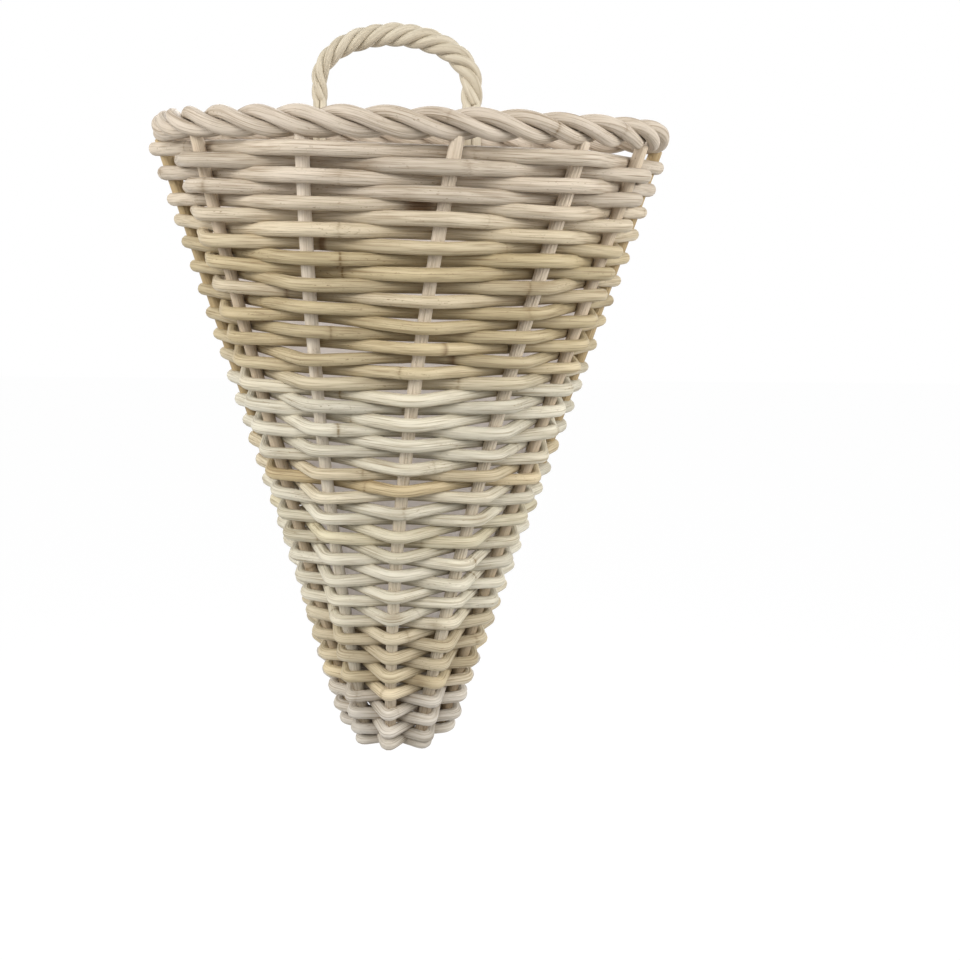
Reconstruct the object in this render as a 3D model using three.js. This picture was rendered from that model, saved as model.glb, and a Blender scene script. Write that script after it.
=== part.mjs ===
import * as THREE from 'three';

// Rattan wall basket: a tapered body with a flat back and a rounded front, woven in one
// rising spiral over upright stakes, with a roped border and a twisted hoop to hang it by.
// Millimetres, +Z up. The front faces -Y and the wall lies on the +Y side.
// The origin is the point under the crown of the hoop that rests on the wall hook.

// The body, measured on the line of the stakes
const RIM_HALF_WIDTH = 160.5;
const RIM_DEPTH = 112;
const RIM_SHIFT = 5.6;
const FOOT_HALF_WIDTH = 40;
const FOOT_DEPTH = 76;
const FOOT_SHIFT = -3;
const FOOT_CORNER_SETBACK = 12;
const FOOT_BACK_SPREAD = 1.3;
const BODY_HEIGHT = 407;
const FOOT_ROUND = 22;
const FOOT_CLOSING = 0.45;
const RIM_LEAN_DEGREES = 9.3;
const FOOT_LEAN_DEGREES = -9.5;
const RIM_GATHER_DEGREES = 4.2;
const FOOT_GATHER_DEGREES = 4.5;
const HOOP_OFFSET = 5.6;

// The canes
const CLEARANCE = 0.3;
const TWIST_CLEARANCE = 0.8;
const STAKE_DIAMETER = 7.5;
const WEAVER_DIAMETER = 6.8;
const BORDER_CANE_DIAMETER = 7.2;
const HOOP_CANE_DIAMETER = 4.8;
const BASE_STICK_DIAMETER = 5.6;
const BASE_CANE_DIAMETER = 5.4;

// The twisted hoop
const HOOP_LEG_SPACING = 95;
const HOOP_RISE = 28;
const HOOP_CLEAR_HEIGHT = 43;
const HOOP_QUARTER_TWISTS = 13;
const HOOP_LAY = 48;

// How many canes there are of each kind
const FRONT_STAKES = 7;
const BACK_STAKES = 2;
const WEAVER_CANES = 16;
const BORDER_CANES = 3;
const HOOP_CANES = 4;
const BASE_STICKS = 3;

// The roped border and the liner
const BORDER_LAY = 76;
const BORDER_CORNER_CUT = 16;
const LINER_WALL = 1.2;
const LINER_TOP_DEPTH = 27;
const LINER_FLOOR_DEPTH = 318;

// The coiled base inside the foot
const BASE_STICK_SPACING = 10;
const BASE_COIL_EYE = 4.4;

const CANE_SIDES = 6;
const STAKE_SIDES = 8;
const UP = new THREE.Vector3(0, 0, 1);
const TO_WALL = new THREE.Vector3(0, 1, 0);

const STAKES = FRONT_STAKES + BACK_STAKES;
const stakeRadius = STAKE_DIAMETER / 2;
const weaverRadius = WEAVER_DIAMETER / 2;
const borderCaneRadius = BORDER_CANE_DIAMETER / 2;
const hoopCaneRadius = HOOP_CANE_DIAMETER / 2;
const rimTop = -HOOP_CLEAR_HEIGHT;
const roundStart = BODY_HEIGHT - FOOT_ROUND;

// Radius of the circle that twisted canes lie on when they just clear each other
function layRadius(caneDiameter, canes, lay) {
  const reach = 2 * Math.sin(Math.PI / canes);
  const slope = Math.atan((2 * Math.PI * caneDiameter) / reach / lay);
  return (caneDiameter / Math.cos(slope) + TWIST_CLEARANCE) / reach;
}

const borderLayRadius = layRadius(BORDER_CANE_DIAMETER, BORDER_CANES, BORDER_LAY);
const borderRadius = borderLayRadius + borderCaneRadius;
const borderDepth = borderRadius;
const hoopLayRadius = layRadius(HOOP_CANE_DIAMETER, HOOP_CANES, HOOP_LAY);
const hoopRadius = hoopLayRadius + hoopCaneRadius;

// Depths below the rim of the first and last rows, and the rise of the spiral per turn
const topRowDepth = 2 * borderRadius + CLEARANCE + weaverRadius;
const endFraction = (FRONT_STAKES - 1) / STAKES;
const rowRoom = BODY_HEIGHT - weaverRadius - topRowDepth;
const fullTurns = Math.floor(rowRoom / (WEAVER_DIAMETER + CLEARANCE) - endFraction);
const rowPitch = rowRoom / (fullTurns + endFraction);
const lastPass = fullTurns * STAKES + FRONT_STAKES - 1;

const ringSpot = (index) => ((index % STAKES) + STAKES) % STAKES;

// Plan position of a stake. They run from the right corner round the front to the left
// corner, then along the back. The corners can stand forward of the back line, and the
// stakes next to them are gathered towards the middle of the front.
function planPoint(index, plan) {
  if (index < FRONT_STAKES) {
    const even = Math.PI / 2 - (Math.PI * index) / (FRONT_STAKES - 1);
    const isBesideCorner = index === 1 || index === FRONT_STAKES - 2;
    const gather = isBesideCorner ? plan.gather * Math.sign(even) : 0;
    const angle = even + plan.lean * Math.cos(even) - gather;
    const reach = plan.depth - plan.setback;
    return new THREE.Vector2(
      plan.shift + plan.halfWidth * Math.sin(angle),
      -plan.setback - reach * Math.cos(angle),
    );
  }
  const share = (index - FRONT_STAKES + 1) / (BACK_STAKES + 1);
  return new THREE.Vector2(plan.shift + plan.halfWidth * plan.backSpread * (2 * share - 1), 0);
}

const rimPlan = {
  halfWidth: RIM_HALF_WIDTH,
  shift: RIM_SHIFT,
  depth: RIM_DEPTH,
  setback: 0,
  backSpread: 1,
  lean: THREE.MathUtils.degToRad(RIM_LEAN_DEGREES),
  gather: THREE.MathUtils.degToRad(RIM_GATHER_DEGREES),
};
const footPlan = {
  halfWidth: FOOT_HALF_WIDTH,
  shift: FOOT_SHIFT,
  depth: FOOT_DEPTH,
  setback: FOOT_CORNER_SETBACK,
  backSpread: FOOT_BACK_SPREAD,
  lean: THREE.MathUtils.degToRad(FOOT_LEAN_DEGREES),
  gather: THREE.MathUtils.degToRad(FOOT_GATHER_DEGREES),
};

// Plan of the stakes part of the way down from the rim to the foot
function planAt(share) {
  const sizes = Object.keys(rimPlan).map((size) => (
    [size, THREE.MathUtils.lerp(rimPlan[size], footPlan[size], share)]
  ));
  return Object.fromEntries(sizes);
}

// Point on the axis of a stake at a depth below the rim: down the taper, then curling under
function stakePoint(index, depth) {
  const spot = planPoint(index, planAt(depth / roundStart));
  if (depth > roundStart) {
    const reach = (FOOT_CLOSING * (depth - roundStart)) / FOOT_ROUND;
    const middle = new THREE.Vector2(FOOT_SHIFT, -FOOT_DEPTH / 2);
    spot.sub(middle).multiplyScalar(Math.sqrt(1 - reach * reach)).add(middle);
  }
  return new THREE.Vector3(spot.x + HOOP_OFFSET, spot.y, rimTop - depth);
}

// Level directions at a stake: along the wall and out of the basket. The mitre is how much
// longer a distance square to the wall gets when it is measured along the corner's outward line.
function wallDirections(index, depth) {
  const here = stakePoint(index, depth);
  const arriving = here.clone().sub(stakePoint(ringSpot(index - 1), depth)).normalize();
  const leaving = stakePoint(ringSpot(index + 1), depth).sub(here).normalize();
  const along = arriving.clone().add(leaving).normalize();
  const outward = new THREE.Vector3().crossVectors(UP, along);
  return { along, outward, mitre: 1 / along.dot(leaving) };
}

// Level distance from a stake's axis to the axis of a weaver that rests on it
function restDistance(index, depth) {
  const step = stakePoint(index, depth - 1).sub(stakePoint(index, depth)).normalize();
  return stakeRadius / step.z + weaverRadius + CLEARANCE;
}

// Slope, against the wall, of the runs that a weaver makes from this stake to the next ones
function runSlope(index, depth) {
  const rest = restDistance(index, depth);
  const here = stakePoint(index, depth);
  const toBefore = here.distanceTo(stakePoint(ringSpot(index - 1), depth));
  const toAfter = here.distanceTo(stakePoint(ringSpot(index + 1), depth));
  return Math.atan2(2 * rest, Math.min(toBefore, toAfter) - rest);
}

// Level distance that an inside pass keeps from the stake so that its slanting runs clear it
function insideDistance(index, depth) {
  return restDistance(index, depth) / Math.cos(runSlope(index, depth));
}

// Where the spiral passes a stake: a short flat outside it, or one bend inside it
const passDepth = (pass) => BODY_HEIGHT - weaverRadius - (rowPitch * pass) / STAKES;
const isInside = (pass) => (lastPass - pass) % 2 !== 0;
function passPoints(pass) {
  const index = ringSpot(pass);
  const depth = passDepth(pass);
  const axis = stakePoint(index, depth);
  const { along, outward, mitre } = wallDirections(index, depth);
  if (isInside(pass)) {
    return [axis.addScaledVector(outward, -insideDistance(index, depth))];
  }
  const rest = restDistance(index, depth);
  const bend = Math.acos(1 / mitre) + runSlope(index, depth);
  const half = rest * Math.tan(bend / 2);
  const flat = axis.addScaledVector(outward, rest);
  return [-half, half].map((shift) => flat.clone().addScaledVector(along, shift));
}

// The two cane ends that meet halfway between one pass and the next
function jointEnds(pass) {
  const from = passPoints(pass).at(-1);
  const to = passPoints(pass + 1)[0];
  const middle = from.clone().lerp(to, 0.5);
  const half = to.sub(from).setLength(CLEARANCE);
  return { end: middle.clone().sub(half), start: middle.clone().add(half) };
}

// Closed cane along a row of points: rings square to the run, capped or joined into a hoop
function cane(points, radius, sides, reference, isRing = false) {
  const count = points.length;
  const position = [];
  points.forEach((point, k) => {
    const before = isRing ? points[(k + count - 1) % count] : points[Math.max(k - 1, 0)];
    const after = isRing ? points[(k + 1) % count] : points[Math.min(k + 1, count - 1)];
    const intoPoint = point.clone().sub(before).normalize();
    const outOfPoint = after.clone().sub(point).normalize();
    const tangent = intoPoint.add(outOfPoint).normalize();
    const side = new THREE.Vector3().crossVectors(tangent, reference).normalize();
    const top = new THREE.Vector3().crossVectors(side, tangent);
    for (let s = 0; s < sides; s += 1) {
      const turn = (2 * Math.PI * (s + 0.5)) / sides;
      const corner = point.clone()
        .addScaledVector(side, radius * Math.cos(turn))
        .addScaledVector(top, radius * Math.sin(turn));
      position.push(corner.x, corner.y, corner.z);
    }
  });
  const index = [];
  const links = isRing ? count : count - 1;
  for (let k = 0; k < links; k += 1) {
    const here = k * sides;
    const next = ((k + 1) % count) * sides;
    for (let s = 0; s < sides; s += 1) {
      const t = (s + 1) % sides;
      index.push(here + s, next + s, here + t, here + t, next + s, next + t);
    }
  }
  if (!isRing) {
    const last = (count - 1) * sides;
    for (let s = 1; s < sides - 1; s += 1) {
      index.push(0, s, s + 1, last, last + s + 1, last + s);
    }
  }
  const geometry = new THREE.BufferGeometry();
  geometry.setAttribute('position', new THREE.Float32BufferAttribute(position, 3));
  geometry.setIndex(index);
  geometry.computeVertexNormals();
  return geometry;
}

const basket = new THREE.Group();
basket.name = 'rattan_wall_basket';

function addPiece(name, geometry, colour, roughness) {
  const material = new THREE.MeshStandardMaterial({ color: colour, roughness, metalness: 0 });
  const piece = new THREE.Mesh(geometry, material);
  piece.name = name;
  basket.add(piece);
}

// Stakes: the back ones stop lower, where the ends of the hoop tuck in under the border
const stakeNames = [
  'stake_right_corner',
  'stake_front_5',
  'stake_front_4',
  'stake_front_3',
  'stake_front_2',
  'stake_front_1',
  'stake_left_corner',
  'stake_back_1',
  'stake_back_2',
];
const frontStakeTop = 2 * borderRadius + CLEARANCE;
const backStakeTop = frontStakeTop + HOOP_CANE_DIAMETER;
const BODY_STEPS = 10;
const FOOT_STEPS = 5;
stakeNames.forEach((name, index) => {
  const top = index < FRONT_STAKES ? frontStakeTop : backStakeTop;
  const depths = [];
  for (let k = 0; k < BODY_STEPS; k += 1) {
    depths.push(THREE.MathUtils.lerp(top, roundStart, k / BODY_STEPS));
  }
  for (let k = 0; k <= FOOT_STEPS; k += 1) {
    depths.push(roundStart + ((FOOT_ROUND - weaverRadius) * k) / FOOT_STEPS);
  }
  const axis = depths.map((depth) => stakePoint(index, depth));
  addPiece(name, cane(axis, stakeRadius, STAKE_SIDES, TO_WALL), 0xa9997f, 0.75);
});

// Weavers: one spiral from foot to rim, cut into canes whose ends meet on the flat back
const weaverTones = [0xb3ab9b, 0xc4b08a, 0xcfc7b4, 0xc0a97f, 0xd3cbb8];
const joints = [];
for (let k = 1; k < WEAVER_CANES; k += 1) {
  const turn = Math.round((fullTurns * k) / WEAVER_CANES);
  joints.push(turn * STAKES - 1 - (k % BACK_STAKES));
}
for (let k = 0; k < WEAVER_CANES; k += 1) {
  const firstPass = k === 0 ? 0 : joints[k - 1] + 1;
  const finalPass = k === WEAVER_CANES - 1 ? lastPass : joints[k];
  const run = [];
  if (k > 0) {
    run.push(jointEnds(joints[k - 1]).start);
  }
  for (let pass = firstPass; pass <= finalPass; pass += 1) {
    run.push(...passPoints(pass));
  }
  if (k < WEAVER_CANES - 1) {
    run.push(jointEnds(joints[k]).end);
  }
  const name = `weaver_${String(k + 1).padStart(2, '0')}`;
  addPiece(name, cane(run, weaverRadius, CANE_SIDES, UP), weaverTones[k % weaverTones.length], 0.6);
}

// Border: canes twisted together round the rim, over the tops of the stakes
const rimPoint = (index) => stakePoint(ringSpot(index), borderDepth);
const rimPoints = stakeNames.flatMap((name, index) => {
  const here = rimPoint(index);
  const cutTo = (neighbour) => here.clone().add(neighbour.sub(here).setLength(BORDER_CORNER_CUT));
  const isCorner = index === 0 || index === FRONT_STAKES - 1;
  return isCorner ? [cutTo(rimPoint(index - 1)), cutTo(rimPoint(index + 1))] : [here];
});
const rimLine = new THREE.CatmullRomCurve3(rimPoints, true);
const borderLays = Math.round(rimLine.getLength() / BORDER_LAY);
const STEPS_PER_LAY = 7;
const borderSteps = borderLays * STEPS_PER_LAY;
for (let c = 0; c < BORDER_CANES; c += 1) {
  const axis = [];
  for (let k = 0; k < borderSteps; k += 1) {
    const share = k / borderSteps;
    const turn = 2 * Math.PI * (k / STEPS_PER_LAY + c / BORDER_CANES);
    const outward = new THREE.Vector3().crossVectors(UP, rimLine.getTangentAt(share)).normalize();
    axis.push(rimLine.getPointAt(share)
      .addScaledVector(outward, borderLayRadius * Math.cos(turn))
      .addScaledVector(UP, borderLayRadius * Math.sin(turn)));
  }
  const name = `border_cane_${c + 1}`;
  addPiece(name, cane(axis, borderCaneRadius, CANE_SIDES, UP, true), 0xcbbba4, 0.65);
}

// Hoop: canes twisted over an arch on two upright legs; at each foot they part, pass in
// front of and behind the border and tuck in under it
const borderHeight = rimTop - borderDepth;
const hoopReach = HOOP_LEG_SPACING / 2;
const hoopSpring = hoopRadius - HOOP_RISE;
const wrapRadius = borderRadius + hoopCaneRadius + CLEARANCE;
const legFoot = borderHeight + wrapRadius + hoopRadius;
const archLine = new THREE.CurvePath();
archLine.add(new THREE.LineCurve(
  new THREE.Vector2(-hoopReach, legFoot),
  new THREE.Vector2(-hoopReach, hoopSpring),
));
archLine.add(new THREE.EllipseCurve(0, hoopSpring, hoopReach, HOOP_RISE, Math.PI, 0, true));
archLine.add(new THREE.LineCurve(
  new THREE.Vector2(hoopReach, hoopSpring),
  new THREE.Vector2(hoopReach, legFoot),
));

const TUCK_DEGREES = [40, 10, -25, -60];
function tuckPoints(twistEnd) {
  const side = Math.sign(twistEnd.y);
  return TUCK_DEGREES.map((degrees) => {
    const angle = THREE.MathUtils.degToRad(degrees);
    const spread = side * wrapRadius * Math.cos(angle);
    return new THREE.Vector3(twistEnd.x, spread, borderHeight + wrapRadius * Math.sin(angle));
  });
}

const HOOP_STEPS = 2 * HOOP_QUARTER_TWISTS;
for (let c = 0; c < HOOP_CANES; c += 1) {
  const axis = [];
  for (let k = 0; k <= HOOP_STEPS; k += 1) {
    const share = k / HOOP_STEPS;
    const middle = archLine.getPointAt(share);
    const run = archLine.getTangentAt(share);
    const turn = (Math.PI / 2) * (0.5 + c + HOOP_QUARTER_TWISTS * share);
    const rise = hoopLayRadius * Math.cos(turn);
    axis.push(new THREE.Vector3(
      middle.x - run.y * rise,
      hoopLayRadius * Math.sin(turn),
      middle.y + run.x * rise,
    ));
  }
  const leftTuck = tuckPoints(axis[0]).reverse();
  const rightTuck = tuckPoints(axis.at(-1));
  const path = [...leftTuck, ...axis, ...rightTuck];
  addPiece(`hoop_cane_${c + 1}`, cane(path, hoopCaneRadius, CANE_SIDES, TO_WALL), 0xd6c9ae, 0.6);
}

// Liner: a thin plastic bag-shaped shell that hangs in the taper, clear of the inside passes
function linerRing(depth, wall) {
  return stakeNames.map((name, index) => {
    const { outward, mitre } = wallDirections(index, depth);
    const inset = insideDistance(index, depth) + mitre * (weaverRadius + CLEARANCE + wall);
    return stakePoint(index, depth).addScaledVector(outward, -inset);
  });
}

const LINER_STEPS = 4;
function liner() {
  const rings = [];
  for (let k = 0; k <= LINER_STEPS; k += 1) {
    const depth = THREE.MathUtils.lerp(LINER_FLOOR_DEPTH, LINER_TOP_DEPTH, k / LINER_STEPS);
    rings.push(linerRing(depth, 0));
  }
  for (let k = LINER_STEPS; k > 0; k -= 1) {
    const depth = THREE.MathUtils.lerp(LINER_FLOOR_DEPTH, LINER_TOP_DEPTH, k / LINER_STEPS);
    rings.push(linerRing(depth, LINER_WALL));
  }
  rings.push(linerRing(LINER_FLOOR_DEPTH - LINER_WALL, LINER_WALL));
  const position = rings.flat().flatMap((point) => [point.x, point.y, point.z]);
  const index = [];
  for (let ring = 0; ring < rings.length - 1; ring += 1) {
    const isInnerWall = ring > LINER_STEPS;
    for (let s = 0; s < STAKES; s += 1) {
      const t = (s + 1) % STAKES;
      const [a, b] = [s, t].map((spot) => ring * STAKES + spot);
      const [c, d] = [a + STAKES, b + STAKES];
      // Both walls fold along the same diagonal, so that they keep their distance
      index.push(...(isInnerWall ? [a, c, d, a, d, b] : [a, c, b, b, c, d]));
    }
  }
  const last = (rings.length - 1) * STAKES;
  for (let s = 1; s < STAKES - 1; s += 1) {
    index.push(0, s, s + 1, last, last + s + 1, last + s);
  }
  const geometry = new THREE.BufferGeometry();
  geometry.setAttribute('position', new THREE.Float32BufferAttribute(position, 3));
  geometry.setIndex(index);
  geometry.computeVertexNormals();
  return geometry;
}
addPiece('liner', liner(), 0xe4e4e8, 0.4);

// Base: a flat coil of cane that fills the foot under a few sticks. Its outer end lies against
// the first inside pass of the second turn of the spiral, flat side to flat side.
const baseCaneRadius = BASE_CANE_DIAMETER / 2;
const baseStickRadius = BASE_STICK_DIAMETER / 2;
const seatPass = isInside(STAKES) ? STAKES : STAKES + 1;
const flatShare = Math.cos(Math.PI / CANE_SIDES);
const baseInset = flatShare * (weaverRadius + baseCaneRadius) - weaverRadius;
const baseRing = linerRing(passDepth(seatPass), baseInset);
const baseMiddle = new THREE.Vector3();
baseRing.forEach((point) => baseMiddle.addScaledVector(point, 1 / STAKES));
const baseReach = Math.min(...baseRing.map((point, index) => {
  const edge = new THREE.Line3(point, baseRing[ringSpot(index + 1)]);
  return edge.closestPointToPoint(baseMiddle, true, new THREE.Vector3()).distanceTo(baseMiddle);
}));
const coilStep = (BASE_CANE_DIAMETER + TWIST_CLEARANCE) / baseReach;
const coilTurns = (1 - BASE_COIL_EYE / baseReach) / coilStep;
const coilAxis = [];
for (let k = 0; k <= coilTurns * STAKES; k += 1) {
  const share = 1 - (coilStep * k) / STAKES;
  coilAxis.push(baseMiddle.clone().lerp(baseRing[ringSpot(seatPass + k)], share));
}
addPiece('base_coil', cane(coilAxis, baseCaneRadius, CANE_SIDES, UP), 0xb9a98a, 0.7);

const stickLift = baseCaneRadius + CLEARANCE + baseStickRadius;
for (let k = 0; k < BASE_STICKS; k += 1) {
  const shift = BASE_STICK_SPACING * (k - (BASE_STICKS - 1) / 2);
  const half = Math.sqrt(baseReach ** 2 - shift ** 2);
  const ends = [-half, half].map((reach) => (
    baseMiddle.clone().add(new THREE.Vector3(shift, reach, stickLift))
  ));
  addPiece(`base_stick_${k + 1}`, cane(ends, baseStickRadius, CANE_SIDES, UP), 0x9d8d72, 0.75);
}

export default basket;
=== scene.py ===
# %% [markdown]
# # A rattan wall basket
# The basket is a half cone of round cane that hangs flat on a wall by a twisted hoop. Everything on it
# but its thin lining is a cane, so most of the work is one good way to make a cane and the right path to
# send it along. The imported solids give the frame: each detailed piece takes the place of the solid that
# has its name.

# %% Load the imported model
import math

import bpy
import numpy as np
from mathutils import Matrix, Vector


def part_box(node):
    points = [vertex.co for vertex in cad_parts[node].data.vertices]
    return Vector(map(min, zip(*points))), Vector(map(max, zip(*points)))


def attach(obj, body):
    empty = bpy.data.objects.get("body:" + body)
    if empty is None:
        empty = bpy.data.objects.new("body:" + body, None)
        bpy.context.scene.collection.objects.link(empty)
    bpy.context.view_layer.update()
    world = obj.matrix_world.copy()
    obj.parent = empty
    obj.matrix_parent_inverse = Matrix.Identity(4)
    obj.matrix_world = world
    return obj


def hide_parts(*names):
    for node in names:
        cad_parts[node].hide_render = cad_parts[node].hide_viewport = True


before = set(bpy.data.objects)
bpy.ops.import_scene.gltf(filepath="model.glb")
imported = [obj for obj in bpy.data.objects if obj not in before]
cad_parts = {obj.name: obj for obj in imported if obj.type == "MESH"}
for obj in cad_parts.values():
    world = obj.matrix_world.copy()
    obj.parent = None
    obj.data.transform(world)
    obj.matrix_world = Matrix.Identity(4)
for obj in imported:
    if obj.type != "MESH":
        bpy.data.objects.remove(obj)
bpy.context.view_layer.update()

# %% [markdown]
# ## Camera
# The viewpoint comes first, because it decides how fine every later piece has to be. The basket is seen
# from the front and a little above its rim, close enough for strong perspective. A tracking constraint
# could aim the camera, but four plain matrices say exactly where it stands and how it is turned. The
# lens is given in pixels of a 960 pixel frame and turned into millimetres on a 36 mm sensor.

# %% Camera
FRAME_PIXELS = 960
LENS_PIXELS = 985
SENSOR_MM = 36.0
EYE = (0.0086, -0.663, -0.088)
HEADING_DEGREES = -4.25
LOOK_DOWN_DEGREES = 16.08
ROLL_DEGREES = 1.2

scene = bpy.context.scene
camera_data = bpy.data.cameras.new("camera")
camera_data.sensor_fit = "HORIZONTAL"
camera_data.sensor_width = SENSOR_MM
camera_data.lens = SENSOR_MM * LENS_PIXELS / FRAME_PIXELS
camera = bpy.data.objects.new("camera", camera_data)
place = Matrix.Translation(EYE)
heading = Matrix.Rotation(math.radians(HEADING_DEGREES), 4, "Z")
tilt = Matrix.Rotation(math.radians(90 - LOOK_DOWN_DEGREES), 4, "X")
roll = Matrix.Rotation(math.radians(ROLL_DEGREES), 4, "Z")
camera.matrix_world = place @ heading @ tilt @ roll
scene.collection.objects.link(camera)
bpy.context.scene.camera = camera
print("lens:", round(camera_data.lens, 2), "mm")

# %% [markdown]
# ## A helper for node trees
# Materials and the world are node trees. Writing each node by hand takes four or five lines, so one
# helper adds a node, sets its options, and fills or links its inputs by name. A second one lets colours
# be written as the screen values that a paint chart would give.

# %% Node helper
def add_node(tree, kind, inputs=None, **options):
    made = tree.nodes.new(kind)
    for name, value in options.items():
        setattr(made, name, value)
    for name, value in (inputs or {}).items():
        socket = made.inputs[name]
        if isinstance(value, bpy.types.NodeSocket):
            tree.links.new(value, socket)
        else:
            socket.default_value = value
    return made


def colour(red, green, blue):
    """A colour written as 0 to 255 screen values, turned into the linear light that shaders use."""
    parts = np.array([red, green, blue]) / 255.0
    linear = np.where(parts <= 0.04045, parts / 12.92, ((parts + 0.055) / 1.055) ** 2.4)
    return (*linear.tolist(), 1.0)


print("mid grey in linear light:", round(colour(128, 128, 128)[0], 3))

# %% [markdown]
# ## Light and floor
# Soft lamps in front, at both sides and behind keep the canes evenly bright all the way round, and let
# the gaps between them go dark by themselves. The one from above does most to show their roundness. The
# background is white only for rays that look at it, so that it adds no light. A photographic backdrop
# would do the same, but this way nothing of it falls on the basket.

# %% World
WHITE = (1.0, 1.0, 1.0, 1.0)
ROOM_TINT = (0.97, 0.98, 1.0, 1.0)
ROOM_STRENGTH = 0.4
scene.view_settings.view_transform = "Standard"
world = bpy.data.worlds.new("soft_room")
scene.world = world
world.use_nodes = True
room = world.node_tree
room.nodes.clear()


def seen_directly(tree):
    """1 for rays that show the background itself: from the camera, by reflection or through glass."""
    path = add_node(tree, "ShaderNodeLightPath")
    either = add_node(tree, "ShaderNodeMath", operation="MAXIMUM")
    tree.links.new(path.outputs["Is Camera Ray"], either.inputs[0])
    tree.links.new(path.outputs["Is Glossy Ray"], either.inputs[1])
    seen = add_node(tree, "ShaderNodeMath", operation="MAXIMUM")
    tree.links.new(either.outputs[0], seen.inputs[0])
    tree.links.new(path.outputs["Is Transmission Ray"], seen.inputs[1])
    return seen.outputs[0]


room_light = add_node(room, "ShaderNodeBackground", {"Color": ROOM_TINT, "Strength": ROOM_STRENGTH})
white_wall = add_node(room, "ShaderNodeBackground", {"Color": WHITE, "Strength": 1.0})
room_mix = add_node(room, "ShaderNodeMixShader", {"Fac": seen_directly(room)})
room.links.new(room_light.outputs[0], room_mix.inputs[1])
room.links.new(white_wall.outputs[0], room_mix.inputs[2])
add_node(room, "ShaderNodeOutputWorld", {"Surface": room_mix.outputs[0]})
print("world:", world.name)

# %% Lamps
BASKET_MIDDLE = (0.0, -0.05, -0.22)
WARM = (1.0, 0.98, 0.95)
MILD = (1.0, 0.99, 0.97)
COOL = (0.97, 0.98, 1.0)
SOFT_LAMPS = [
    # name, place, metres across, watts, tint
    ("key_lamp", (-0.5, -1.2, 0.75), 0.9, 13.0, WARM),
    ("fill_lamp", (0.9, -1.2, 0.25), 1.0, 3.5, COOL),
    ("right_lamp", (1.1, -0.4, 0.2), 0.8, 10.5, MILD),
    ("left_lamp", (-1.1, -0.4, 0.2), 0.8, 8.5, MILD),
    ("back_lamp", (0.0, 1.3, 0.5), 1.0, 10.0, MILD),
]
for name, stand, across, watts, tint in SOFT_LAMPS:
    lamp_data = bpy.data.lights.new(name, "AREA")
    lamp_data.shape = "DISK"
    lamp_data.size = across
    lamp_data.energy = watts
    lamp_data.color = tint
    lamp = bpy.data.objects.new(name, lamp_data)
    lamp.location = stand
    aim = np.array(BASKET_MIDDLE) - np.array(stand)
    yaw = math.atan2(aim[1], aim[0])
    level = math.hypot(aim[0], aim[1])
    lamp.rotation_euler = (math.atan2(level, -aim[2]), 0.0, yaw - math.pi / 2)
    scene.collection.objects.link(lamp)
print("lamps:", len(SOFT_LAMPS))

# %% [markdown]
# The floor is far below the hanging basket. It is nearly all white to the eye, and one tenth of it is
# plain matt paper, which keeps a hint of the basket's shadow.

# %% Floor
FLOOR_HEIGHT = -1.3
FLOOR_REACH = 6.0
PAPER = (0.9, 0.9, 0.9, 1.0)
PAPER_GLOW = 1.06
GLOW_SHARE = 0.9
FLOOR_PLAN = [(-1, -1), (1, -1), (1, 1), (-1, 1)]
floor_mesh = bpy.data.meshes.new("floor")
floor_corners = [(x * FLOOR_REACH, y * FLOOR_REACH, FLOOR_HEIGHT) for x, y in FLOOR_PLAN]
floor_mesh.from_pydata(floor_corners, [], [(0, 1, 2, 3)])
floor = bpy.data.objects.new("floor", floor_mesh)
scene.collection.objects.link(floor)

paper = bpy.data.materials.new("white_paper")
paper.use_nodes = True
sheet = paper.node_tree
sheet.nodes.clear()
matt = add_node(sheet, "ShaderNodeBsdfDiffuse", {"Color": PAPER})
bright = add_node(sheet, "ShaderNodeEmission", {"Color": WHITE, "Strength": PAPER_GLOW})
looked_at = seen_directly(sheet)
glow_share = add_node(sheet, "ShaderNodeMath", {0: looked_at, 1: GLOW_SHARE}, operation="MULTIPLY")
sheet_mix = add_node(sheet, "ShaderNodeMixShader", {"Fac": glow_share.outputs[0]})
sheet.links.new(matt.outputs[0], sheet_mix.inputs[1])
sheet.links.new(bright.outputs[0], sheet_mix.inputs[2])
add_node(sheet, "ShaderNodeOutputMaterial", {"Surface": sheet_mix.outputs[0]})
floor_mesh.materials.append(paper)
print("floor at", FLOOR_HEIGHT, "m")

# %% [markdown]
# ## The lines of the stakes
# A basket maker sets up the stakes and the weave follows them. Seven stakes go round the front, the
# outer two at the corners, and two stand in the flat back. Their plan shrinks from rim to foot, leans a
# little on the way, and curls under at the foot. Curves could be drawn for each stake, but one function
# that gives a point on any stake at any depth also serves the weave, the border and the liner.

# %% Stake lines
RIM = {
    "half": 0.1605, "shift": 0.0056, "depth": 0.112, "setback": 0.0, "spread": 1.0,
    "lean": math.radians(9.3), "gather": math.radians(4.2),
}
FOOT = {
    "half": 0.040, "shift": -0.003, "depth": 0.076, "setback": 0.012, "spread": 1.3,
    "lean": math.radians(-9.5), "gather": math.radians(4.5),
}
BODY_HEIGHT = 0.407
FOOT_ROUND = 0.022
FOOT_CLOSING = 0.45
RIM_TOP = -0.043
HOOP_OFFSET = 0.0056
FRONT_STAKES = 7
BACK_STAKES = 2
STAKES = FRONT_STAKES + BACK_STAKES
ROUND_START = BODY_HEIGHT - FOOT_ROUND


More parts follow.
